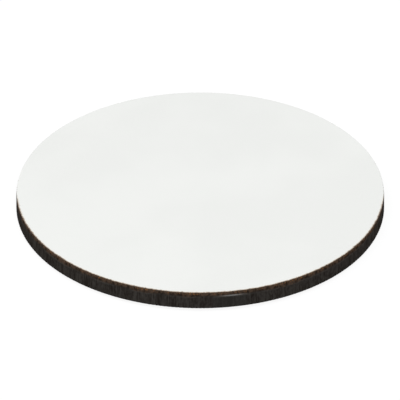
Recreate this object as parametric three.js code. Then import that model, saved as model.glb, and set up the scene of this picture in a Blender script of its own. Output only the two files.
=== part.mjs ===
// Round drink coaster: a white-faced fibreboard disc, cut out by a laser in one pass, on a cork pad.
// Millimetres, +Z up. The origin is the middle of the cork pad's underside, on the table.

import * as THREE from 'three';

// Outline and layers, from the glass down to the table
const COASTER_DIAMETER = 100; // across the foot of the cut wall, its widest level
const PRINT_COAT_THICKNESS = 0.06;
const FACE_SHEET_THICKNESS = 0.24;
const BOARD_THICKNESS = 4.5;
const ADHESIVE_THICKNESS = 0.1;
const PAD_THICKNESS = 1;
const PAD_SETBACK = 2.5; // from the foot of the cut wall in to the edge of the cork

// Laser cut
const KERF_TAPER = 0.15; // how far the wall leans in from its foot up to the face
const FLARE_DEPTH = 1.2; // the widened beam entry, measured down from the face
const FLARE_INSET = 0.1; // how far the beam entry draws the rim of the face in, besides
const PULSE_PITCH = 1.047; // along the wall, from one pulse mark to the next
const GROOVE_DEEPEST = 0.07; // of the grooves that the pulses leave
const GROOVE_SHALLOWEST = 0.02;
const OVERLAP_LENGTH = 9; // where the cut closes on its start, the beam passes twice
const OVERLAP_DEPTH = 0.04; // what the second pass takes off, with the pulse marks
const OVERLAP_DEGREES = -81; // the middle of that stretch, from +X; the front is -90

// Longest straight run in the pad's outline
const PAD_FACET_LENGTH = 2;

// Worked out from the sizes above
const FOOT_RADIUS = COASTER_DIAMETER / 2;
const PAD_RADIUS = FOOT_RADIUS - PAD_SETBACK;
const FACING_DEPTH = PRINT_COAT_THICKNESS + FACE_SHEET_THICKNESS;
const CUT_DEPTH = FACING_DEPTH + BOARD_THICKNESS;
const PULSES_ROUND = Math.round((2 * Math.PI * FOOT_RADIUS) / PULSE_PITCH);
const STEPS_ROUND = 2 * PULSES_ROUND; // each pulse has a land and a groove
const STEP_ANGLE = (2 * Math.PI) / STEPS_ROUND;
const GOLDEN_ANGLE = Math.PI * (3 - Math.sqrt(5));

// Whether a step round the outline lies where the cut closes on its start
function inOverlap(step) {
  const fromMiddle = step * STEP_ANGLE - THREE.MathUtils.degToRad(OVERLAP_DEGREES);
  const nearest = Math.atan2(Math.sin(fromMiddle), Math.cos(fromMiddle));
  return Math.abs(nearest) * FOOT_RADIUS < OVERLAP_LENGTH / 2;
}

// What the beam's pulses take off the wall at one step round the outline. Lands, at even steps, stand at full
// radius. The grooves between them are uneven: a turn by the golden angle from each to the next gives depths
// that don't repeat.
function pulseMark(step) {
  if (inOverlap(step)) {
    return OVERLAP_DEPTH;
  }
  if (step % 2 === 0) {
    return 0;
  }
  const share = (1 + Math.cos(GOLDEN_ANGLE * step)) / 2;
  return THREE.MathUtils.lerp(GROOVE_SHALLOWEST, GROOVE_DEEPEST, share);
}

// Radius of the laser's cut at one step round the outline and at one depth below the coated face
function cutRadius(step, depth) {
  const taper = KERF_TAPER * (1 - depth / CUT_DEPTH);
  const flare = FLARE_INSET * Math.max(0, 1 - depth / FLARE_DEPTH);
  return FOOT_RADIUS - taper - flare - pulseMark(step);
}

// Depths at which a layer's wall needs a ring: its two faces, and the foot of the flare if the layer holds it
function ringDepths(lowest, highest) {
  const holdsFlareFoot = highest < FLARE_DEPTH && FLARE_DEPTH < lowest;
  return holdsFlareFoot ? [lowest, FLARE_DEPTH, highest] : [lowest, highest];
}

// One layer of the board: a closed disc, standing on z = 0, whose wall is the laser's cut between two depths
function laserCutDisc(lowest, highest) {
  const depths = ringDepths(lowest, highest);
  const points = [];
  for (const depth of depths) {
    for (let step = 0; step < STEPS_ROUND; step += 1) {
      const angle = step * STEP_ANGLE;
      const radius = cutRadius(step, depth);
      points.push(radius * Math.cos(angle), radius * Math.sin(angle), lowest - depth);
    }
  }
  const topRing = (depths.length - 1) * STEPS_ROUND;
  const bottomCentre = depths.length * STEPS_ROUND;
  const topCentre = bottomCentre + 1;
  points.push(0, 0, 0);
  points.push(0, 0, lowest - highest);

  const triangles = [];
  for (let step = 0; step < STEPS_ROUND; step += 1) {
    const next = (step + 1) % STEPS_ROUND;
    triangles.push(bottomCentre, next, step);
    triangles.push(topCentre, topRing + step, topRing + next);
    for (let lower = 0; lower < topRing; lower += STEPS_ROUND) {
      const upper = lower + STEPS_ROUND;
      triangles.push(lower + step, lower + next, upper + next);
      triangles.push(lower + step, upper + next, upper + step);
    }
  }

  const geometry = new THREE.BufferGeometry();
  geometry.setAttribute('position', new THREE.Float32BufferAttribute(points, 3));
  geometry.setIndex(triangles);
  geometry.computeVertexNormals();
  return geometry;
}

// A die-cut disc of the pad's outline, standing on z = 0
function dieCutDisc(thickness) {
  const outline = new THREE.Shape();
  outline.absarc(0, 0, PAD_RADIUS, 0, 2 * Math.PI);
  return new THREE.ExtrudeGeometry(outline, {
    depth: thickness,
    curveSegments: Math.ceil((Math.PI * PAD_RADIUS) / PAD_FACET_LENGTH), // round half of the outline
    bevelEnabled: false,
  });
}

const cork = new THREE.MeshStandardMaterial({ color: 0xc39a6b, roughness: 0.95, metalness: 0 });
const adhesive = new THREE.MeshStandardMaterial({ color: 0xd9d3bd, roughness: 0.4, metalness: 0 });
const charredFibreboard = new THREE.MeshStandardMaterial({ color: 0x2c2926, roughness: 0.6, metalness: 0 });
const whiteFacing = new THREE.MeshStandardMaterial({ color: 0xeef0ee, roughness: 0.5, metalness: 0 });
const clearCoat = new THREE.MeshStandardMaterial({
  color: 0xf6f8f6,
  roughness: 0.3,
  metalness: 0,
  transparent: true,
  opacity: 0.35,
});

// The stack, from the table up: each layer rests on the one before it, face to face
const layers = [
  {
    name: 'cork_pad',
    thickness: PAD_THICKNESS,
    material: cork,
    geometry: dieCutDisc(PAD_THICKNESS),
  },
  {
    name: 'adhesive_film',
    thickness: ADHESIVE_THICKNESS,
    material: adhesive,
    geometry: dieCutDisc(ADHESIVE_THICKNESS),
  },
  {
    name: 'fibreboard_disc',
    thickness: BOARD_THICKNESS,
    material: charredFibreboard,
    geometry: laserCutDisc(CUT_DEPTH, FACING_DEPTH),
  },
  {
    name: 'white_face_sheet',
    thickness: FACE_SHEET_THICKNESS,
    material: whiteFacing,
    geometry: laserCutDisc(FACING_DEPTH, PRINT_COAT_THICKNESS),
  },
  {
    name: 'clear_print_coat',
    thickness: PRINT_COAT_THICKNESS,
    material: clearCoat,
    geometry: laserCutDisc(PRINT_COAT_THICKNESS, 0),
  },
];

const coaster = new THREE.Group();
let base = 0;
for (const layer of layers) {
  const mesh = new THREE.Mesh(layer.geometry, layer.material);
  mesh.name = layer.name;
  mesh.position.z = base;
  coaster.add(mesh);
  base += layer.thickness;
}

export default coaster;
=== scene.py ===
"""Looks of the round drink coaster: its fine surfaces and finishes, and a plain studio round it.

Lengths are metres in the frame's own axes: +Z is up, -Y faces the viewer, and the origin is on the table.
"""

from __future__ import annotations

import logging
import math
from dataclasses import dataclass, fields
from enum import Enum
from typing import Sequence, Union

import bpy
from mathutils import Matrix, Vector

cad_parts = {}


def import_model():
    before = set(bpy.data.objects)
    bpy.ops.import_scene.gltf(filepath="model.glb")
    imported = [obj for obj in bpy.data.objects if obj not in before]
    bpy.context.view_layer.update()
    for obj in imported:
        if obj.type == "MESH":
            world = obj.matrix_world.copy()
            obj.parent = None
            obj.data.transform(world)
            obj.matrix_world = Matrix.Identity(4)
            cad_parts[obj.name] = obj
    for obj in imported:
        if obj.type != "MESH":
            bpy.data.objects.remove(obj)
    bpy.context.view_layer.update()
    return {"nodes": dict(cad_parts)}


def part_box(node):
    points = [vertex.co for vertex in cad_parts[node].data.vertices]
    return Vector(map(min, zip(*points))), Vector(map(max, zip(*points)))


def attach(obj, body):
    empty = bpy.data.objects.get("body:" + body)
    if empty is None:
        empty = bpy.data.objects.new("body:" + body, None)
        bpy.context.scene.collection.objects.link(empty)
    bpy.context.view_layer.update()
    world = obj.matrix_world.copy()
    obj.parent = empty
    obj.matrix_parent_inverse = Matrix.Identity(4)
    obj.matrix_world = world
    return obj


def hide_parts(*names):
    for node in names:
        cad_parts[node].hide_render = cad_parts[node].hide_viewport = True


MM = 0.001
BODY = "root"
PICTURE_SIDE = 400  # pixels, both ways
BAKE_MAP = "OFBake"  # the name under which a piece keeps a map of its own
NOISE_MIDDLE = 0.5  # the level that noise rises and falls about
NOISE_ROUGHNESS = 0.55  # how strong each finer octave of noise is beside the one before
FLAT_SLOPE = 0.7  # a face whose normal has more Z than this is no wall
WHITE = (1.0, 1.0, 1.0, 1.0)
COOL_LIGHT = (0.95, 0.98, 1.0)

Socket = bpy.types.NodeSocket
Colour = tuple[float, float, float, float]
Span = tuple[float, float]  # where a share is 0, and where it is 1
Ring = tuple[float, float]  # radius and height
Spot = tuple[float, float]  # place on a square map with a side of 1
Disc = tuple[float, float, float]  # middle and radius on that map
Number = Union["Field", float]
log = logging.getLogger("coaster")


class Node(Enum):
    """The frame's nodes, from the table up."""

    CORK = "cork_pad"
    ADHESIVE = "adhesive_film"
    BOARD = "fibreboard_disc"
    FACING = "white_face_sheet"
    COAT = "clear_print_coat"


class Slot(Enum):
    """Material slot names, one for each modelled piece."""

    CORK = "cork"
    BOARD = "charred_fibreboard"
    FACING = "white_facing"


class Cells(Enum):
    """What the distances in a pattern of cells are measured from."""

    MIDDLE = "F1"
    BORDER = "DISTANCE_TO_EDGE"


class Move(Enum):
    """How the points of a geometry are moved."""

    TO = "Position"
    BY = "Offset"


def srgb(*levels: int) -> Colour:
    """Turns a colour as a screen shows it, 0 to 255, into the linear one, by the standard curve."""
    shares = [level / 255 for level in levels]
    return (*(s / 12.92 if s <= 0.04045 else ((s + 0.055) / 1.055) ** 2.4 for s in shares), 1.0)


def grey(level: float) -> Colour:
    """Gives a linear grey."""
    return level, level, level, 1.0


def spread(first: float, last: float, count: int) -> list[float]:
    """Gives a count of evenly spaced values, both ends included."""
    return [first + (last - first) * i / (count - 1) for i in range(count)]


def towards(azimuth: float, elevation: float) -> Vector:
    """Gives a direction, by its degrees to the right of the viewer's side and above the table."""
    a, e = math.radians(azimuth), math.radians(elevation)
    return Vector((math.sin(a) * math.cos(e), -math.cos(a) * math.cos(e), math.sin(e)))


def linked(name: str, data: bpy.types.ID) -> bpy.types.Object:
    """Makes an object and puts it in the scene.

    Args:
        name: The object's name.
        data: Its mesh, lamp or camera.

    Returns:
        The new object.
    """
    thing = bpy.data.objects.new(name, data)
    bpy.context.scene.collection.objects.link(thing)
    return thing


@dataclass(frozen=True)
class Noise:
    """Smooth noise, mostly from 0.25 to 0.75, which can be cut to patches."""

    size: float  # rough distance between its hills
    upright: float = 1.0  # how many times longer than wide its marks are drawn out along Z
    detail: float = 2.0  # octaves of finer noise in it
    patch: Span = (0.25, 0.75)  # the levels where a patch starts, and where it is full


class Field:
    """A number that varies over a surface: a node's output, with arithmetic that adds Math nodes."""

    def __init__(self, graph: Graph, socket: Socket) -> None:
        """Keeps the graph and the output socket."""
        self.graph = graph
        self.socket = socket

    def __add__(self, other: Number) -> Field:
        """Sum."""
        return self.graph.math("ADD", self, other)

    def __sub__(self, other: Number) -> Field:
        """Difference."""
        return self.graph.math("SUBTRACT", self, other)

    def __rsub__(self, other: Number) -> Field:
        """Difference, other first."""
        return self.graph.math("SUBTRACT", other, self)

    def __mul__(self, other: Number) -> Field:
        """Product."""
        return self.graph.math("MULTIPLY", self, other)

    def __truediv__(self, other: Number) -> Field:
        """Quotient."""
        return self.graph.math("DIVIDE", self, other)

    def __neg__(self) -> Field:
        """Opposite."""
        return self.graph.math("MULTIPLY", self, -1.0)

    def __abs__(self) -> Field:
        """Size without sign."""
        return self.graph.math("ABSOLUTE", self)


class Graph:
    """Adds wired nodes to a tree, so that a formula reads like one."""

    def __init__(self, tree: bpy.types.NodeTree) -> None:
        """Keeps the tree."""
        self.tree = tree

    def add(self, kind: str, inputs: dict | None = None, **settings: object) -> bpy.types.Node:
        """Adds a node.

        Args:
            kind: The node's type name.
            inputs: Fields, sockets or values by the input's name or index.
            settings: The node's own properties.

        Returns:
            The new node.
        """
        node = self.tree.nodes.new(kind)
        for name, value in settings.items():
            setattr(node, name, value)
        for key, value in (inputs or {}).items():
            self.feed(node.inputs[key], value)
        return node

    def feed(self, socket: Socket, value: object) -> None:
        """Links a field or socket to an input, or sets the input's value.

        Args:
            socket: The input.
            value: A field, an output socket or a plain value.
        """
        source = value.socket if isinstance(value, Field) else value
        if isinstance(source, Socket):
            self.tree.links.new(source, socket)
        else:
            socket.default_value = source

    def number(self, kind: str, inputs: dict, **settings: object) -> Field:
        """Adds a node and gives its first result."""
        return Field(self, self.add(kind, inputs, **settings).outputs[0])

    def math(self, operation: str, *operands: Number) -> Field:
        """Adds one Math node and gives its result."""
        return self.number("ShaderNodeMath", dict(enumerate(operands)), operation=operation)

    def clamp(self, value: Number) -> Field:
        """Holds a number between 0 and 1."""
        return self.math("MINIMUM", self.math("MAXIMUM", value, 0.0), 1.0)

    def step(self, value: Number, low: float, high: float) -> Field:
        """Rises smoothly from 0 at low to 1 at high, or falls from 1 to 0 where high is the smaller."""
        inputs = {"Value": value, "From Min": low, "From Max": high}
        return self.number("ShaderNodeMapRange", inputs, interpolation_type="SMOOTHSTEP")

    def between(self, share: Number, first: Number, second: Number) -> Field:
        """Gives first where the share is 0 and second where it is 1."""
        return self.number("ShaderNodeMix", {0: share, 2: first, 3: second}, data_type="FLOAT")


class SurfaceGraph(Graph):
    """A graph that is worked out at each point of a surface, and reads patterns there."""

    place: Socket  # the point's place

    def vector(self, operation: str, *operands: object) -> Socket:
        """Adds one Vector Math node and gives its result."""
        return self.add("ShaderNodeVectorMath", dict(enumerate(operands)), operation=operation).outputs[0]

    def split(self, vector: Socket) -> tuple[Field, Field, Field]:
        """Gives the X, Y and Z of a vector, or the red, green and blue of a colour."""
        x, y, z = self.add("ShaderNodeSeparateXYZ", {0: vector}).outputs
        return Field(self, x), Field(self, y), Field(self, z)

    def xyz(self) -> tuple[Field, Field, Field]:
        """Gives the point's X, Y and Z."""
        return self.split(self.place)

    def from_axis(self) -> Field:
        """Gives the point's distance from the Z axis."""
        x, y, _ = self.xyz()
        return self.math("SQRT", x * x + y * y)

    def noise(self, noise: Noise) -> Field:
        """Reads noise at the point.

        Args:
            noise: What it is like.

        Returns:
            Its level.
        """
        squeezed = self.vector("MULTIPLY", self.place, (1, 1, 1 / noise.upright))
        inputs = {"Vector": squeezed, "Scale": 1 / noise.size, "Detail": noise.detail}
        return self.number("ShaderNodeTexNoise", {**inputs, "Roughness": NOISE_ROUGHNESS})

    def swing(self, noise: Noise) -> Field:
        """Reads noise so that it rises and falls about 0."""
        return self.noise(noise) - NOISE_MIDDLE

    def patches(self, noise: Noise) -> Field:
        """Gives 1 in the patches of a noise, and 0 between them."""
        return self.step(self.noise(noise), *noise.patch)

    def warp(self, place: Socket, size: float, reach: float) -> Socket:
        """Shifts a place by noise, so that a pattern read there loses its straight lines.

        Args:
            place: The place.
            size: Rough distance between the noise's hills.
            reach: About twice the longest shift.

        Returns:
            The shifted place.
        """
        noise = self.add("ShaderNodeTexNoise", {"Vector": place, "Scale": 1 / size}).outputs["Color"]
        shift = self.vector("SUBTRACT", noise, (NOISE_MIDDLE,) * 3)
        return self.vector("MULTIPLY_ADD", shift, (reach,) * 3, place)

    def cells(self, place: Socket, size: float, measure: Cells = Cells.MIDDLE) -> bpy.types.NodeOutputs:
        """Gives the outputs of a pattern of cells of a size, with distances as shares of it."""
        inputs = {"Vector": place, "Scale": 1 / size}
        return self.add("ShaderNodeTexVoronoi", inputs, feature=measure.value).outputs


class ShaderGraph(SurfaceGraph):
    """A material's graph, with places in the piece's own coordinates."""

    def __init__(self, tree: bpy.types.NodeTree) -> None:
        """Keeps the tree, and adds the node that knows the point's place."""
        super().__init__(tree)
        self.place = self.add("ShaderNodeTexCoord").outputs["Object"]

    def blend(self, share: Number, first: Socket | Colour, second: Socket | Colour) -> Socket:
        """Gives the first colour where the share is 0 and the second where it is 1."""
        return self.add("ShaderNodeMix", {0: share, 6: first, 7: second}, data_type="RGBA").outputs[2]

    def ramp(self, share: Number, stops: Sequence[tuple[float, Colour]]) -> Socket:
        """Reads a colour scale.

        Args:
            share: Where it is read, 0 to 1.
            stops: Places on the scale, rising, each with its colour.

        Returns:
            The colour.
        """
        node = self.add("ShaderNodeValToRGB", {0: share})
        scale = node.color_ramp.elements
        while len(scale) < len(stops):
            scale.new(1.0)
        for element, (position, colour) in zip(scale, stops):
            element.position = position
            element.color = colour
        return node.outputs[0]

    def bump(self, height: Number, distance: float) -> Socket:
        """Gives a normal that follows a height of 0 to 1, worth a distance, at full strength."""
        inputs = {"Height": height, "Distance": distance, "Strength": 1.0}
        return self.add("ShaderNodeBump", inputs).outputs[0]


class GeometryGraph(SurfaceGraph):
    """A Geometry Nodes tree with named inputs, which is run on an object and leaves a plain mesh."""

    def __init__(self, name: str) -> None:
        """Starts a tree with one geometry in and one out.

        Args:
            name: The tree's name.
        """
        super().__init__(bpy.data.node_groups.new(name, "GeometryNodeTree"))
        for way in ("INPUT", "OUTPUT"):
            self.tree.interface.new_socket("Geometry", in_out=way, socket_type="NodeSocketGeometry")
        self.entry = self.add("NodeGroupInput")
        self.place = self.add("GeometryNodeInputPosition").outputs[0]
        self.settings: dict[str, float] = {}

    def named(self, name: str, value: float) -> Field:
        """Adds a named number to the tree's inputs.

        Args:
            name: The input's name.
            value: What the object's modifier sets it to.

        Returns:
            The input as a field.
        """
        socket = self.tree.interface.new_socket(name, in_out="INPUT", socket_type="NodeSocketFloat")
        self.settings[socket.identifier] = float(value)
        return Field(self, self.entry.outputs[name])

    def sizes(self, owner: object) -> dict[str, Field]:
        """Makes each field of a dataclass of numbers a named input, under the field's name."""
        names = [f.name for f in fields(owner)]
        return {name: self.named(name.replace("_", " "), getattr(owner, name)) for name in names}

    def slope(self) -> Field:
        """Gives the Z of a face's normal: 1 on a level top, 0 on a wall, -1 on a level underside."""
        return self.split(self.add("GeometryNodeInputNormal").outputs[0])[2]

    def facing_down(self) -> Field:
        """Gives 1 on faces that look down, and 0 elsewhere."""
        return self.math("LESS_THAN", self.slope(), -FLAT_SLOPE)

    def move(self, geometry: Socket, how: Move, x: Number, y: Number, z: Number) -> Socket:
        """Moves the points of a geometry to a place or by a distance."""
        vector = self.add("ShaderNodeCombineXYZ", {0: x, 1: y, 2: z}).outputs[0]
        return self.add("GeometryNodeSetPosition", {"Geometry": geometry, how.value: vector}).outputs[0]

    def run(
        self,
        piece: bpy.types.Object,
        geometry: Socket,
        finishes: Sequence[tuple[bpy.types.Material, Field | None]],
    ) -> None:
        """Ends the tree, runs it on a piece, and keeps the result as the piece's plain mesh.

        Args:
            piece: The object that the tree works on.
            geometry: The finished geometry.
            finishes: Materials in the order they are laid on, each with its faces, or None for all.
        """
        geometry = self.add("GeometryNodeRealizeInstances", {0: geometry}).outputs[0]
        for material, selection in finishes:
            inputs = {"Geometry": geometry, "Material": material}
            if selection is not None:
                inputs["Selection"] = selection
            geometry = self.add("GeometryNodeSetMaterial", inputs).outputs[0]
        self.add("NodeGroupOutput", {0: geometry})
        modifier = piece.modifiers.new(self.tree.name, "NODES")
        modifier.node_group = self.tree
        for identifier, value in self.settings.items():
            modifier[identifier] = value
        depsgraph = bpy.context.evaluated_depsgraph_get()
        mesh = bpy.data.meshes.new_from_object(piece.evaluated_get(depsgraph), depsgraph=depsgraph)
        piece.modifiers.remove(modifier)
        piece.data = mesh
        mesh.name = piece.name


@dataclass(frozen=True)
class BakeLayout:
    """Where a turned piece lies on the map that its finish is baked through."""

    rows: int  # that the band between its two discs is unrolled in
    band: float  # share of the map's height that the rows take, from its foot up
    underside: Disc  # for what lies within the first ring
    top: Disc  # for what lies within the last ring
    gap: float = 0.002  # left bare round each row

    def on_disc(self, disc: Disc, turn: float) -> Spot:
        """Gives the place of a point on the rim of a disc, by its share of a full turn."""
        x, y, radius = disc
        return x + radius * math.cos(math.tau * turn), y + radius * math.sin(math.tau * turn)

    def on_band(self, row: int, along: float, up: float) -> Spot:
        """Gives a point's place on the band, by its row and its shares of the row's length and height."""
        height = self.band / self.rows
        return self.gap + along * (1 - 2 * self.gap), row * height + self.gap + up * (height - 2 * self.gap)


@dataclass(frozen=True)
class TurnedBlank:
    """A closed, smooth mesh of rings about the Z axis."""

    name: str
    profile: Sequence[Ring]  # from the middle of its underside to the middle of its top
    segments: int
    layout: BakeLayout

    def climb(self) -> list[float]:
        """Gives how far along the band each ring lies, from 0 at the first to 1 at the last.

        Returns:
            One share for each ring.
        """
        rings = self.profile[1:-1]
        lengths = [math.dist(ring, following) for ring, following in zip(rings, rings[1:])]
        return [sum(lengths[:i]) / sum(lengths) for i in range(len(rings))]

    def sector(self, i: int, climb: Sequence[float]) -> list[tuple[tuple[int, ...], list[Spot]]]:
        """Gives the faces of one segment.

        Args:
            i: The segment, counted round from +X.
            climb: How far along the band each ring lies.

        Returns:
            Each face's points, and their places on the bake map.
        """
        j = (i + 1) % self.segments
        foot = len(climb) * self.segments
        last = foot - self.segments
        faces = []
        fans = (self.layout.underside, (foot, j, i)), (self.layout.top, (foot + 1, last + i, last + j))
        for disc, fan in fans:
            rim = [self.layout.on_disc(disc, corner / self.segments) for corner in fan[1:]]
            faces.append((fan, [disc[:2], *rim]))
        per_row = self.segments // self.layout.rows
        row, step = divmod(i, per_row)
        near, far = step / per_row, (step + 1) / per_row
        for ring, (low, high) in enumerate(zip(climb, climb[1:])):
            lower, upper = ring * self.segments, (ring + 1) * self.segments
            corners = (near, low), (far, low), (far, high), (near, high)
            places = [self.layout.on_band(row, along, up) for along, up in corners]
            faces.append(((lower + i, lower + j, upper + j, upper + i), places))
        return faces

    def build(self) -> bpy.types.Object:
        """Makes the mesh and its bake map.

        Returns:
            The new object.
        """
        foot, *rings, head = self.profile
        turns = [math.tau * i / self.segments for i in range(self.segments)]
        points = [(r * math.cos(turn), r * math.sin(turn), height) for r, height in rings for turn in turns]
        points += [(0.0, 0.0, height) for _, height in (foot, head)]
        climb = self.climb()
        faces = [face for i in range(self.segments) for face in self.sector(i, climb)]
        mesh = bpy.data.meshes.new(self.name)
        mesh.from_pydata(points, [], [corners for corners, _ in faces])
        mesh.polygons.foreach_set("use_smooth", [True] * len(faces))
        shares = [share for _, places in faces for place in places for share in place]
        mesh.uv_layers.new(name=BAKE_MAP).uv.foreach_set("vector", shares)
        return linked(self.name, mesh)


@dataclass(frozen=True)
class PulseMarks:
    """The marks of the laser's pulses in a cut wall, and the stretch where the cut closes on its start."""

    pulses_round: float = 300
    groove_deepest: float = 0.07 * MM
    groove_shallowest: float = 0.02 * MM
    ripple: float = 0.02 * MM
    overlap_angle: float = math.radians(-81)
    overlap_length: float = 9 * MM
    overlap_depth: float = 0.04 * MM
    bead_height: float = 0.06 * MM
    bead_width: float = 0.24 * MM
    chip_depth: float = 0.06 * MM


@dataclass(frozen=True)
class LaserCut:
    """The cut that the board and its facing share, made in one pass from the face down."""

    foot_radius: float
    face_height: float
    depth: float
    kerf_taper: float = 0.15 * MM
    flare_depth: float = 1.2 * MM
    flare_inset: float = 0.1 * MM
    ridge_softness: float = 0.12  # of the flare's foot, as a share of its depth
    segments: int = 1800  # round a blank, six for each pulse
    marks: PulseMarks = PulseMarks()
    mark_reach: float = 0.5 * MM  # how far in from the wall a mark dies out on a flat face
    overlap_fade: float = 0.8 * MM  # length over which the stretch that is cut twice comes and goes
    groove_depths: Noise = Noise(1.3 * MM, upright=14, patch=(0.3, 0.7))
    ripples: Noise = Noise(0.5 * MM, upright=8)
    chips: Noise = Noise(1.1 * MM, upright=6, patch=(0.57, 0.66))
    chip_rim: Span = (-0.12 * MM, -0.02 * MM)  # how far past the rim of the face chips lie
    chip_level: Span = (0.1 * MM, 0.0)  # and how far below the face

    def radius(self, depth: float) -> float:
        """Gives the wall's radius before the pulse marks.

        Args:
            depth: How far below the face.

        Returns:
            The radius.
        """
        taper = self.kerf_taper * (1 - depth / self.depth)
        rise = 1 - depth / self.flare_depth
        flare = self.flare_inset * (rise + math.hypot(rise, self.ridge_softness)) / 2
        return self.foot_radius - taper - flare

    def ring(self, depth: float, inset: float = 0.0) -> Ring:
        """Gives the radius and height of a ring on the wall, or set in from it."""
        return self.radius(depth) - inset, self.face_height - depth

    def below_face(self, graph: SurfaceGraph) -> Field:
        """Gives how far below the face a point is."""
        return self.face_height - graph.xyz()[2]

    def past_rim(self, graph: SurfaceGraph) -> Field:
        """Gives how far past the face's rim a point is, down the wall, or less than 0 on the face."""
        return graph.from_axis() - self.radius(0.0) + self.below_face(graph)

    def stretch(self, graph: SurfaceGraph, angle: Number, length: Number, fade: float) -> Field:
        """Gives 1 along one stretch of the wall, and 0 elsewhere.

        Args:
            graph: The graph to add to.
            angle: Where the middle of the stretch is, from +X.
            length: How long it is.
            fade: Length over which it comes and goes.

        Returns:
            A share from 0 to 1.
        """
        x, y, _ = graph.xyz()
        sine, cosine = graph.math("SINE", angle), graph.math("COSINE", angle)
        along = graph.math("ARCTAN2", y * cosine - x * sine, x * cosine + y * sine) * self.foot_radius
        return graph.step(abs(along) - length / 2, fade / 2, -fade / 2)

    def grooves(self, graph: GeometryGraph, size: dict[str, Field]) -> Field:
        """Gives what the pulses take off the wall: grooves of uneven depth, with a fine ripple.

        Args:
            graph: The graph to add to.
            size: The marks' sizes.

        Returns:
            A depth.
        """
        x, y, _ = graph.xyz()
        scallop = graph.math("SINE", graph.math("ARCTAN2", y, x) * size["pulses_round"] / 2)
        uneven = graph.patches(self.groove_depths)
        deep = graph.between(uneven, size["groove_shallowest"], size["groove_deepest"])
        return scallop * scallop * deep + graph.patches(self.ripples) * size["ripple"]

    def bead(self, graph: GeometryGraph, size: dict[str, Field]) -> Field:
        """Gives how far the melted bead along the foot of the flare stands out."""
        across = graph.clamp(abs(self.below_face(graph) - self.flare_depth) * 2 / size["bead_width"])
        return (graph.math("COSINE", across * math.pi) + 1.0) / 2 * size["bead_height"]

    def mark(self, graph: GeometryGraph) -> Socket:
        """Cuts the pulse marks into the wall of a blank, and the chips into its rim.

        Args:
            graph: The graph to add to, which is run on the blank.

        Returns:
            The marked geometry.
        """
        size = graph.sizes(self.marks)
        x, y, _ = graph.xyz()
        depth, radius = self.below_face(graph), graph.from_axis()
        twice = self.stretch(graph, size["overlap_angle"], size["overlap_length"], self.overlap_fade)
        closing = size["overlap_depth"] - self.bead(graph, size)
        taken = graph.between(twice, self.grooves(graph, size), closing)
        flare = graph.clamp(1 - depth / self.flare_depth) * self.flare_inset
        from_wall = radius - (self.foot_radius - self.kerf_taper - flare)
        inwards = taken * graph.clamp(from_wall / self.mark_reach + 1.0) / radius
        at_rim = graph.step(self.past_rim(graph), *self.chip_rim) * graph.step(depth, *self.chip_level)
        chip = graph.patches(self.chips) * at_rim * size["chip_depth"]
        return graph.move(graph.entry.outputs[0], Move.BY, -(x * inwards), -(y * inwards), -chip)


class Finish:
    """A procedural surface on a Principled shader."""

    name: str

    def sockets(self, graph: ShaderGraph) -> dict[str, object]:
        """Gives a field, colour or number for each of the shader's sockets that isn't left as it is."""
        raise NotImplementedError

    def material(self) -> bpy.types.Material:
        """Makes the material.

        Returns:
            The new material.
        """
        material = bpy.data.materials.new(self.name)
        material.use_nodes = True
        graph = ShaderGraph(material.node_tree)
        shader = material.node_tree.nodes["Principled BSDF"].inputs
        for socket, value in self.sockets(graph).items():
            graph.feed(shader[socket], value)
        return material


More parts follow.
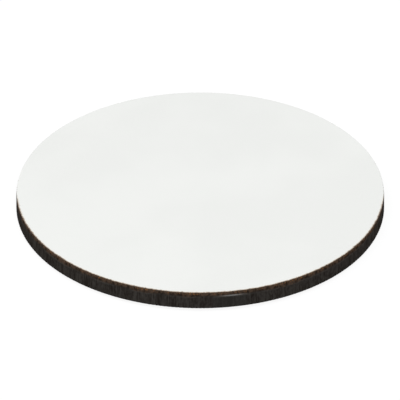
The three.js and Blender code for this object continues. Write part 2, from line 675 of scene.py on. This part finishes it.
@dataclass(frozen=True)
class FacingFinish(Finish):
    """White facing, scorched where the beam went through it and where smoke was drawn over the face."""

    cut: LaserCut
    name: str
    specular: float
    coat: float
    white: Colour = srgb(238, 239, 236)
    dull_white: Colour = srgb(235, 236, 233)
    speck: Colour = srgb(190, 190, 184)
    cream: Colour = srgb(217, 210, 198)
    tan: Colour = srgb(143, 119, 97)
    brown: Colour = srgb(60, 48, 38)
    clouds: Noise = Noise(30 * MM, patch=(0.35, 0.65))
    speck_pitch: float = 22 * MM
    speck_radius: Span = (0.009, 0.005)  # shares of the pitch
    speck_warp: tuple[float, float] = (0.2 * MM, 0.15 * MM)
    speck_strength: float = 0.5
    long_teeth: Noise = Noise(0.9 * MM, upright=5)
    short_teeth: Noise = Noise(0.4 * MM, upright=5)
    teeth_reach: float = 0.42 * MM
    chip_reach: float = 0.12 * MM
    smoky_side: Span = (0.0, 0.15)  # shares of the radius, from the middle towards the viewer
    clean_level: Span = (0.28 * MM, 0.0)  # how far below the face it stays clean on the other side
    clean_teeth: float = 0.3 * MM
    clean_reach: float = 0.5 * MM
    scorched: Span = (-0.52 * MM, 0.3 * MM)  # how far past the rim of the face
    shades: tuple[float, float, float] = (0.25, 0.55, 0.9)  # scorch for cream, tan and brown
    peel: Noise = Noise(1.6 * MM, detail=1.0)
    peel_depth: float = 0.004 * MM
    roughness: float = 0.45
    coat_roughness: float = 0.22

    def face(self, graph: ShaderGraph) -> Socket:
        """Gives the white, a little clouded and with a few specks.

        Args:
            graph: The material's graph.

        Returns:
            The colour.
        """
        white = graph.blend(graph.patches(self.clouds), self.white, self.dull_white)
        from_speck = graph.cells(graph.warp(graph.place, *self.speck_warp), self.speck_pitch)["Distance"]
        specks = graph.step(Field(graph, from_speck), *self.speck_radius) * self.speck_strength
        return graph.blend(specks, white, self.speck)

    def scorch(self, graph: ShaderGraph) -> Field:
        """Gives how far the facing is burnt, with a toothed border that lies on the face on the smoky side.

        Args:
            graph: The material's graph.

        Returns:
            A share from 0 to 1.
        """
        teeth = graph.swing(self.long_teeth) + graph.swing(self.short_teeth)
        chips = graph.patches(self.cut.chips) * self.chip_reach
        burnt = self.cut.past_rim(graph) + teeth * self.teeth_reach + chips
        smoky = graph.step(graph.xyz()[1] / -self.cut.foot_radius, *self.smoky_side)
        level = graph.step(self.cut.below_face(graph) + teeth * self.clean_teeth, *self.clean_level)
        return graph.step(burnt - (1 - smoky) * level * self.clean_reach, *self.scorched)

    def sockets(self, graph: ShaderGraph) -> dict[str, object]:
        """Gives what the shader's sockets take.

        Args:
            graph: The material's graph.

        Returns:
            Fields, colours and numbers by socket.
        """
        scorch = self.scorch(graph)
        burnt = graph.ramp(scorch, list(zip(self.shades, (self.cream, self.tan, self.brown))))
        return {
            "Base Color": graph.blend(graph.step(scorch, 0.0, self.shades[0]), self.face(graph), burnt),
            "Normal": graph.bump(graph.noise(self.peel), self.peel_depth),
            "Roughness": self.roughness,
            "Specular IOR Level": self.specular,
            "Coat Weight": self.coat,
            "Coat Roughness": self.coat_roughness,
        }


@dataclass(frozen=True)
class CharredEdgeFinish(Finish):
    """Laser-cut fibreboard: singed brown under the facing, and burnt near black below."""

    cut: LaserCut
    char: Colour = srgb(35, 31, 28)
    ash: Colour = srgb(57, 54, 51)
    even_grey: Colour = srgb(45, 44, 42)
    # painted highlight: the pale grey that the crest below the foot of the flare is blended to, standing in
    # for light caught there
    ridge: Colour = srgb(70, 67, 64)
    brown: Colour = srgb(40, 32, 26)
    russet: Colour = srgb(73, 59, 49)
    amber: Colour = srgb(128, 87, 50)
    fine: Noise = Noise(0.3 * MM, upright=16, detail=3.0)  # streaks of three widths
    mid: Noise = Noise(1.6 * MM, upright=8)
    broad: Noise = Noise(7 * MM, upright=6)
    lined: Noise = Noise(3 * MM, upright=20, patch=(0.35, 0.65))
    line_strength: tuple[float, float] = (0.15, 0.75)  # of fine streaks, outside lined patches and in
    mid_strength: float = 0.3
    mottle: Noise = Noise(0.6 * MM, upright=1.5, detail=3.0)
    mottle_strength: float = 0.35
    ashen: Span = (-0.13, 0.13)  # levels of these together
    closing_grey: float = 0.5  # share of the even grey where the cut closes on its start
    # where the painted highlight along the crest lies, in which patches, and how strong it is
    painted_highlight_depth: float = 1.4 * MM
    painted_highlight_reach: Span = (0.4 * MM, 0.05 * MM)  # up and down from that depth
    painted_highlight_patch: Span = (-0.14, 0.06)  # levels of the broad streaks
    painted_highlight_lift: float = 0.1  # added to those levels where the cut closes, so that the painted highlight is fuller there
    painted_highlight_strength: float = 0.45
    fibres: Noise = Noise(0.7 * MM, upright=2, detail=3.0, patch=(0.37, 0.63))
    russet_depth: Span = (0.8 * MM, 0.3 * MM)
    russet_lift: float = 0.08  # added to the level of the fibres there
    flecks: Noise = Noise(0.4 * MM, upright=1.4, patch=(0.52, 0.62))
    fleck_depth: Span = (0.8 * MM, 0.35 * MM)
    cluster_mid: float = 0.6  # share of the mid streaks, beside the broad ones, in where flecks cluster
    clustered: Span = (-0.12, 0.04)  # levels of that mix
    singed_depth: Span = (1.5 * MM, 0.85 * MM)
    fine_reach: float = 0.4 * MM  # of the streaks in the border at that depth
    mid_reach: float = 0.8 * MM
    broad_reach: float = 1.2 * MM
    glint_angle: float = math.radians(-80.3)
    glint_length: float = 4.6 * MM
    grit: Noise = Noise(0.25 * MM, upright=4)
    grit_depth: float = 0.02 * MM
    roughness: tuple[float, float] = (0.75, 0.5)  # of the wall, and where the cut closes
    bead_roughness: float = 0.12
    bead_ior: float = 2.1
    name = "charred_edge"

    def burnt(self, graph: ShaderGraph, closing: Field) -> Socket:
        """Gives the burnt wall: upright streaks, with a painted highlight, a paler crest of grey, below the
        foot of the flare.

        Args:
            graph: The material's graph.
            closing: 1 where the cut closes on its start.

        Returns:
            The colour.
        """
        lines = graph.swing(self.fine) * graph.between(graph.patches(self.lined), *self.line_strength)
        mottle = graph.swing(self.mottle) * self.mottle_strength
        streaks = graph.step(lines + graph.swing(self.mid) * self.mid_strength + mottle, *self.ashen)
        streaked = graph.blend(streaks, self.char, self.ash)
        burnt = graph.blend(closing * self.closing_grey, streaked, self.even_grey)
        # painted highlight: a paler grey band along the crest, in patches of the broad streaks
        highlight_patches = graph.step(graph.swing(self.broad) + closing * self.painted_highlight_lift, *self.painted_highlight_patch)
        painted_highlight = graph.step(abs(self.cut.below_face(graph) - self.painted_highlight_depth), *self.painted_highlight_reach) * highlight_patches
        return graph.blend(painted_highlight * self.painted_highlight_strength, burnt, self.ridge)

    def singed(self, graph: ShaderGraph) -> Socket:
        """Gives the singed wall: brown and russet fibres, with clusters of amber flecks.

        Args:
            graph: The material's graph.

        Returns:
            The colour.
        """
        depth = self.cut.below_face(graph)
        fibres = graph.noise(self.fibres) + graph.step(depth, *self.russet_depth) * self.russet_lift
        singed = graph.blend(graph.step(fibres, *self.fibres.patch), self.brown, self.russet)
        mix = graph.swing(self.mid) * self.cluster_mid + graph.swing(self.broad) * (1 - self.cluster_mid)
        flecks = graph.patches(self.flecks) * graph.step(mix, *self.clustered)
        return graph.blend(flecks * graph.step(depth, *self.fleck_depth), singed, self.amber)

    def sockets(self, graph: ShaderGraph) -> dict[str, object]:
        """Gives what the shader's sockets take.

        Args:
            graph: The material's graph.

        Returns:
            Fields, colours and numbers by socket.
        """
        cut, marks = self.cut, self.cut.marks
        depth = cut.below_face(graph)
        closing = cut.stretch(graph, marks.overlap_angle, marks.overlap_length, cut.overlap_fade)
        glint = cut.stretch(graph, self.glint_angle, self.glint_length, self.glint_length)
        bead = graph.step(abs(depth - cut.flare_depth), marks.bead_width, marks.bead_width / 2)
        border = graph.swing(self.broad) * self.broad_reach + graph.swing(self.mid) * self.mid_reach
        border = border + graph.swing(self.fine) * self.fine_reach
        band = graph.step(depth - border, *self.singed_depth)
        return {
            "Base Color": graph.blend(band, self.burnt(graph, closing), self.singed(graph)),
            "Roughness": graph.between(closing, *self.roughness),
            "Normal": graph.bump(graph.noise(self.grit), self.grit_depth),
            "Coat Weight": glint * bead,
            "Coat Roughness": self.bead_roughness,
            "Coat IOR": self.bead_ior,
            "Specular IOR Level": 0.0,
        }


@dataclass(frozen=True)
class ScreenBackFinish(Finish):
    """The fibreboard's bare underside, with smoke stain towards the cut."""

    cut: LaserCut
    fibre: Colour = srgb(126, 92, 62)
    dark_fibre: Colour = srgb(96, 68, 45)
    smoke: Colour = srgb(52, 40, 31)
    fibres: Noise = Noise(0.5 * MM, detail=4.0, patch=(0.35, 0.65))
    fibre_depth: float = 0.03 * MM
    drift: Noise = Noise(2.5 * MM)
    drift_reach: float = 1.2 * MM
    stained: Span = (-1.4 * MM, 0.6 * MM)  # how far past the foot of the wall
    roughness: float = 0.8
    specular: float = 0.3
    name = "screen_back"

    def sockets(self, graph: ShaderGraph) -> dict[str, object]:
        """Gives what the shader's sockets take.

        Args:
            graph: The material's graph.

        Returns:
            Fields, colours and numbers by socket.
        """
        board = graph.blend(graph.patches(self.fibres), self.fibre, self.dark_fibre)
        drift = graph.noise(self.drift) * self.drift_reach
        stain = graph.step(graph.from_axis() - self.cut.foot_radius + drift, *self.stained)
        return {
            "Base Color": graph.blend(stain, board, self.smoke),
            "Normal": graph.bump(graph.noise(self.fibres), self.fibre_depth),
            "Roughness": self.roughness,
            "Specular IOR Level": self.specular,
        }


@dataclass(frozen=True)
class CorkGrain:
    """How pressed cork is made up, for its shape and its colour alike."""

    granule: float = 1.5 * MM
    crumb: float = 0.6 * MM
    seam_width: float = 0.16  # share of a granule's size, from its border in
    bends: tuple[float, float] = (1.3 * MM, 1.1 * MM)  # of the granules' borders: their size and reach
    kinks: tuple[float, float] = (0.35 * MM, 0.3 * MM)
    pores: Noise = Noise(0.9 * MM, detail=3.0, patch=(0.64, 0.7))

    def spot(self, graph: SurfaceGraph) -> Socket:
        """Gives the place where the granules are read, so that their borders are crooked."""
        return graph.warp(graph.warp(graph.place, *self.bends), *self.kinks)

    def seams(self, graph: SurfaceGraph) -> Field:
        """Gives 1 at the border of a granule, and 0 inside it."""
        from_border = graph.cells(self.spot(graph), self.granule, Cells.BORDER)["Distance"]
        return graph.step(Field(graph, from_border), self.seam_width, 0.0)


@dataclass(frozen=True)
class CorkFinish(Finish):
    """Pressed cork: granules of several browns, with darker seams, crumbs of bark and open pores."""

    grain: CorkGrain
    pale: Colour = srgb(212, 170, 120)
    deep: Colour = srgb(160, 112, 70)
    bark: Colour = srgb(94, 62, 40)
    seam: Colour = srgb(128, 88, 56)
    pore: Colour = srgb(70, 46, 29)
    clouds: Noise = Noise(0.3 * MM, detail=3.0)
    cloud_depth: float = 0.06 * MM
    granule_tint: float = 0.6  # how much each of these deepens the brown
    crumb_tint: float = 0.2
    cloud_tint: float = 0.5
    paleness: float = 0.15
    bark_crumbs: Span = (0.93, 0.95)  # draws from 0 to 1, one for each crumb
    bark_granules: Span = (0.955, 0.965)  # and one for each granule
    bark_strength: float = 0.8
    seam_strength: float = 0.55
    roughness: float = 0.9
    specular: float = 0.25
    name = "pressed_cork"

    def sockets(self, graph: ShaderGraph) -> dict[str, object]:
        """Gives what the shader's sockets take.

        Args:
            graph: The material's graph.

        Returns:
            Fields, colours and numbers by socket.
        """
        spot = self.grain.spot(graph)
        tint, granule_draw, _ = graph.split(graph.cells(spot, self.grain.granule)["Color"])
        crumb, crumb_draw, _ = graph.split(graph.cells(spot, self.grain.crumb)["Color"])
        cloud = graph.noise(self.clouds)
        tone = tint * self.granule_tint + crumb * self.crumb_tint + cloud * self.cloud_tint - self.paleness
        crumbs = graph.step(crumb_draw, *self.bark_crumbs)
        barky = graph.math("MAXIMUM", crumbs, graph.step(granule_draw, *self.bark_granules))
        cork = graph.blend(barky * self.bark_strength, graph.blend(tone, self.pale, self.deep), self.bark)
        seamed = graph.blend(self.grain.seams(graph) * self.seam_strength, cork, self.seam)
        return {
            "Base Color": graph.blend(graph.patches(self.grain.pores), seamed, self.pore),
            "Normal": graph.bump(cloud, self.cloud_depth),
            "Roughness": self.roughness,
            "Specular IOR Level": self.specular,
        }


@dataclass(frozen=True)
class AdhesiveFinish(Finish):
    """Clear acrylic adhesive, a little yellow and clouded."""

    clear: Colour = srgb(222, 214, 190)
    cloudy: Colour = srgb(196, 184, 152)
    clouds: Noise = Noise(2 * MM, detail=3.0, patch=(0.35, 0.65))
    roughness: float = 0.35
    name = "acrylic_adhesive"

    def sockets(self, graph: ShaderGraph) -> dict[str, object]:
        """Gives what the shader's sockets take."""
        colour = graph.blend(graph.patches(self.clouds), self.clear, self.cloudy)
        return {"Base Color": colour, "Roughness": self.roughness}


def settle(piece: bpy.types.Object, slot: Slot, *stands_for: Node) -> None:
    """Ties a finished piece to the frame.

    Args:
        piece: The piece.
        slot: The material slot that it stands for; not used.
        stands_for: The nodes that it is shown in place of.
    """
    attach(piece, BODY)
    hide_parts(*(node.value for node in stands_for))


@dataclass
class FibreboardDisc:
    """The pressed fibreboard core, with its laser-cut wall and screen-marked underside."""

    cut: LaserCut
    top_depth: float  # of its top, below the face
    pad_radius: float
    tucked_in: float = 0.4 * MM  # how far the rings of its bare underside reach in behind the pad
    corner: float = 0.01 * MM
    ridge_reach: float = 0.2 * MM  # up and down from the foot of the flare, with close rings
    underside_rings: int = 10
    low_rings: int = 13
    ridge_rings: int = 16
    high_rings: int = 9
    screen_pitch: float = 1.1 * MM
    screen_depth: float = 0.05 * MM
    layout: BakeLayout = BakeLayout(6, 0.9, underside=(0.05, 0.95, 0.045), top=(0.15, 0.95, 0.045))

    def profile(self) -> list[Ring]:
        """Gives the rings of the blank.

        Returns:
            The rings, from the middle of the underside to the middle of the top.
        """
        cut = self.cut
        foot = cut.face_height - cut.depth
        bare_from, bare_to = self.pad_radius - self.tucked_in, cut.foot_radius - 2 * self.corner
        underside = [(radius, foot) for radius in spread(bare_from, bare_to, self.underside_rings)]
        below, above = cut.flare_depth + self.ridge_reach, cut.flare_depth - self.ridge_reach
        low = spread(cut.depth - self.corner, below, self.low_rings)
        ridge = spread(below, above, self.ridge_rings)
        high = spread(above, self.top_depth, self.high_rings)
        wall = [cut.ring(depth) for depth in low[:-1] + ridge + high[1:]]
        top = [cut.ring(self.top_depth, cut.mark_reach), (0.0, cut.face_height - self.top_depth)]
        return [(0.0, foot), *underside, *wall, *top]

    def build(self) -> bpy.types.Object:
        """Makes the piece.

        Returns:
            The finished piece.
        """
        piece = TurnedBlank("fibreboard", self.profile(), self.cut.segments, self.layout).build()
        graph = GeometryGraph("laser_cut_board")
        marked = self.cut.mark(graph)
        pitch = graph.named("screen pitch", self.screen_pitch)
        depth = graph.named("screen depth", self.screen_depth)
        x, y, _ = graph.xyz()
        wires = graph.math("SINE", x / pitch * math.tau) * graph.math("SINE", y / pitch * math.tau)
        pressed = (wires + 1.0) / 2 * depth * graph.facing_down()
        geometry = graph.move(marked, Move.BY, 0.0, 0.0, pressed)
        wall = CharredEdgeFinish(self.cut).material()
        back = ScreenBackFinish(self.cut).material()
        graph.run(piece, geometry, [(wall, None), (back, graph.facing_down())])
        settle(piece, Slot.BOARD, Node.BOARD)
        return piece


@dataclass
class WhiteFace:
    """The white facing and its clear coat, cut through with the board."""

    cut: LaserCut
    thickness: float
    rim_round: float = 0.08 * MM
    wall_rings: int = 6
    rim_rings: int = 3
    face_insets: tuple[float, ...] = (0.1 * MM, 0.2 * MM, 0.35 * MM, 0.6 * MM, 1.5 * MM)  # from its rim
    side_slope: float = 0.6  # a face whose normal has less Z than this is on its cut side
    layout: BakeLayout = BakeLayout(6, 0.26, underside=(0.89, 0.89, 0.1), top=(0.37, 0.63, 0.365))

    def profile(self) -> list[Ring]:
        """Gives the rings of the blank.

        Returns:
            The rings, from the middle of the underside to the middle of the top.
        """
        cut, rounding = self.cut, self.rim_round
        underside = [(0.0, cut.face_height - self.thickness), cut.ring(self.thickness, cut.mark_reach)]
        wall = [cut.ring(depth) for depth in spread(self.thickness, rounding, self.wall_rings)]
        turns = spread(0.0, math.pi / 2, self.rim_rings + 1)[1:]
        rim = [cut.ring(rounding * (1 - math.sin(a)), rounding * (1 - math.cos(a))) for a in turns]
        face = [cut.ring(0.0, inset) for inset in self.face_insets]
        return [*underside, *wall, *rim, *face, (0.0, cut.face_height)]

    def build(self) -> bpy.types.Object:
        """Makes the piece.

        Returns:
            The finished piece.
        """
        piece = TurnedBlank("white_face", self.profile(), self.cut.segments, self.layout).build()
        graph = GeometryGraph("laser_cut_facing")
        marked = self.cut.mark(graph)
        face = FacingFinish(self.cut, "white_facing", specular=0.5, coat=0.5).material()
        side = FacingFinish(self.cut, "scorched_facing", specular=0.08, coat=0.0).material()
        steep = graph.math("LESS_THAN", abs(graph.slope()), self.side_slope)
        graph.run(piece, marked, [(face, None), (side, steep)])
        settle(piece, Slot.FACING, Node.FACING, Node.COAT)
        return piece


@dataclass
class CorkPad:
    """The die-cut cork sheet under the board, with granules pressed level and pores between them."""

    radius: float
    thickness: float
    grain: CorkGrain = CorkGrain()
    grid: int = 210  # points along and across
    layers: int = 5  # points up
    pore_depth: float = 0.05 * MM
    seam_share: float = 0.6  # of the pores' depth
    sunk_level: Span = (0.3, 0.0)  # shares of the thickness: the relief is in the underside
    ragged: float = 0.15 * MM
    fray: Noise = Noise(0.8 * MM)
    frayed: Span = (0.99, 1.0)  # shares of the radius

    def build(self) -> bpy.types.Object:
        """Makes the piece, from a gridded block with sides from -1 to 1, whose square outline is rounded.

        Returns:
            The finished piece.
        """
        piece = linked("cork_sheet", bpy.data.meshes.new("cork_sheet"))
        graph = GeometryGraph("pressed_cork")
        radius = graph.named("radius", self.radius)
        thickness = graph.named("thickness", self.thickness)
        pore_depth = graph.named("pore depth", self.pore_depth)
        ragged = graph.named("ragged edge", self.ragged)
        x, y, z = graph.xyz()
        counts = {"Vertices X": self.grid, "Vertices Y": self.grid, "Vertices Z": self.layers}
        block = graph.add("GeometryNodeMeshCube", {"Size": (2, 2, 2), **counts}).outputs["Mesh"]
        round_x = x * graph.math("SQRT", 1 - y * y / 2) * radius
        round_y = y * graph.math("SQRT", 1 - x * x / 2) * radius
        disc = graph.move(block, Move.TO, round_x, round_y, (z + 1.0) / 2 * thickness)
        seams = self.grain.seams(graph) * self.seam_share
        sunk = graph.math("MAXIMUM", seams, graph.patches(self.grain.pores)) * pore_depth
        relief = sunk * graph.step(z / thickness, *self.sunk_level)
        edge = graph.step(graph.from_axis() / radius, *self.frayed)
        fray = graph.noise(self.fray) * ragged * edge / radius
        geometry = graph.move(disc, Move.BY, -(x * fray), -(y * fray), relief)
        graph.run(piece, geometry, [(CorkFinish(self.grain).material(), None)])
        settle(piece, Slot.CORK, Node.CORK)
        return piece


@dataclass
class AdhesiveFilm:
    """The film between the cork and the board, which keeps the frame's own shape."""

    node: bpy.types.Object
    finish: AdhesiveFinish = AdhesiveFinish()

    def build(self) -> bpy.types.Object:
        """Dresses the frame's node.

        Returns:
            The dressed node.
        """
        self.node.data.materials.clear()
        self.node.data.materials.append(self.finish.material())
        return self.node


@dataclass(frozen=True)
class Lamp:
    """A soft lamp that looks at the coaster."""

    name: str
    azimuth: float  # degrees to the right of the viewer's side
    elevation: float  # degrees above the table
    reach: float  # from the coaster
    size: tuple[float, float]  # width and height
    watts: float
    colour: tuple[float, float, float] = (1.0, 1.0, 1.0)

    def build(self) -> None:
        """Makes the lamp, which the camera doesn't see."""
        away = towards(self.azimuth, self.elevation)
        data = bpy.data.lights.new(self.name, "AREA")
        data.energy = self.watts
        data.color = self.colour
        data.shape = "RECTANGLE"
        data.size, data.size_y = self.size
        lamp = linked(self.name, data)
        lamp.location = away * self.reach
        lamp.rotation_euler = away.to_track_quat("Z", "Y").to_euler()
        lamp.visible_camera = False


@dataclass
class Studio:
    """A white floor, soft lamps and a camera at the photograph's viewing angle."""

    face_height: float
    distance: float = 0.9954
    elevation: float = 33.235  # degrees
    aim_right: float = -0.063 * MM
    aim_near: float = 5.784 * MM  # how far in front of the coaster's middle the camera looks
    focal_pixels: float = 3687.2
    sky: float = 0.57
    floor_side: float = 8.0
    floor_grey: float = 0.85  # for the light that it throws back at the coaster
    floor_shading: float = 0.12  # how grey it is to the camera, besides its glow
    floor_glow: float = 0.91
    lamps: tuple[Lamp, ...] = (
        Lamp("soft_key", azimuth=-52, elevation=60, reach=1.6, size=(1.2, 1.2), watts=9.2),
        Lamp("glint", azimuth=20, elevation=58, reach=1.4, size=(0.5, 0.1), watts=4.2, colour=COOL_LIGHT),
    )

    def seen(self, graph: Graph) -> Field:
        """Gives 1 for rays from the camera, straight, mirrored or through glass, and 0 for scattered light.

        Args:
            graph: The graph to add to.

        Returns:
            1 or 0.
        """
        path = graph.add("ShaderNodeLightPath").outputs
        names = "Is Camera Ray", "Is Glossy Ray", "Is Transmission Ray"
        straight, mirrored, through_glass = (Field(graph, path[name]) for name in names)
        return graph.clamp(straight + mirrored + through_glass)

    def floor(self) -> None:
        """Makes the floor, which looks white and keeps a soft shadow."""
        half = self.floor_side / 2
        corners = [(-half, -half, 0), (half, -half, 0), (half, half, 0), (-half, half, 0)]
        mesh = bpy.data.meshes.new("floor")
        mesh.from_pydata(corners, [], [(0, 1, 2, 3)])
        floor = linked("floor", mesh)
        material = bpy.data.materials.new("white_floor")
        material.use_nodes = True
        material.node_tree.nodes.clear()
        graph = Graph(material.node_tree)
        plain = graph.add("ShaderNodeBsdfDiffuse", {"Color": grey(self.floor_grey)}).outputs[0]
        shaded = graph.add("ShaderNodeBsdfDiffuse", {"Color": grey(self.floor_shading)}).outputs[0]
        glow = graph.add("ShaderNodeEmission", {"Color": WHITE, "Strength": self.floor_glow}).outputs[0]
        shown = graph.add("ShaderNodeAddShader", {0: shaded, 1: glow}).outputs[0]
        surface = graph.add("ShaderNodeMixShader", {0: self.seen(graph), 1: plain, 2: shown}).outputs[0]
        graph.add("ShaderNodeOutputMaterial", {"Surface": surface})
        mesh.materials.append(material)

    def world(self) -> None:
        """Makes the even light from all round, which looks white to the camera."""
        world = bpy.data.worlds.new("studio")
        bpy.context.scene.world = world
        world.use_nodes = True
        graph = Graph(world.node_tree)
        background = world.node_tree.nodes["Background"].inputs
        background["Color"].default_value = WHITE
        graph.feed(background["Strength"], graph.between(self.seen(graph), self.sky, 1.0))

    def camera(self) -> None:
        """Makes the camera."""
        back = towards(0.0, self.elevation)
        data = bpy.data.cameras.new("camera")
        data.sensor_fit = "HORIZONTAL"
        data.lens = self.focal_pixels * data.sensor_width / PICTURE_SIDE
        camera = linked("camera", data)
        camera.location = Vector((self.aim_right, -self.aim_near, self.face_height)) + back * self.distance
        camera.rotation_euler = back.to_track_quat("Z", "Y").to_euler()
        bpy.context.scene.camera = camera

    def build(self) -> None:
        """Makes the whole studio."""
        self.floor()
        self.world()
        for lamp in self.lamps:
            lamp.build()
        self.camera()
        bpy.context.scene.view_settings.view_transform = "Standard"


def main() -> None:
    """Loads the frame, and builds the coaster's pieces and the studio round it."""
    logging.basicConfig(level=logging.INFO, format="%(name)s: %(message)s")
    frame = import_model()
    board_low, board_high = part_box(Node.BOARD.value)
    _, face_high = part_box(Node.COAT.value)
    cork_low, cork_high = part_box(Node.CORK.value)

    cut = LaserCut(board_high.x, face_high.z, face_high.z - board_low.z)
    facing = face_high.z - board_high.z
    layers = (
        FibreboardDisc(cut, facing, cork_high.x),
        WhiteFace(cut, facing),
        CorkPad(cork_high.x, cork_high.z - cork_low.z),
        AdhesiveFilm(frame["nodes"][Node.ADHESIVE.value]),
    )
    for layer in layers:
        piece = layer.build()
        log.info("%s: %d faces", piece.name, len(piece.data.polygons))
    Studio(face_high.z).build()
    log.info("studio: floor, world, lamps and camera")


if __name__ == "__main__":
    main()
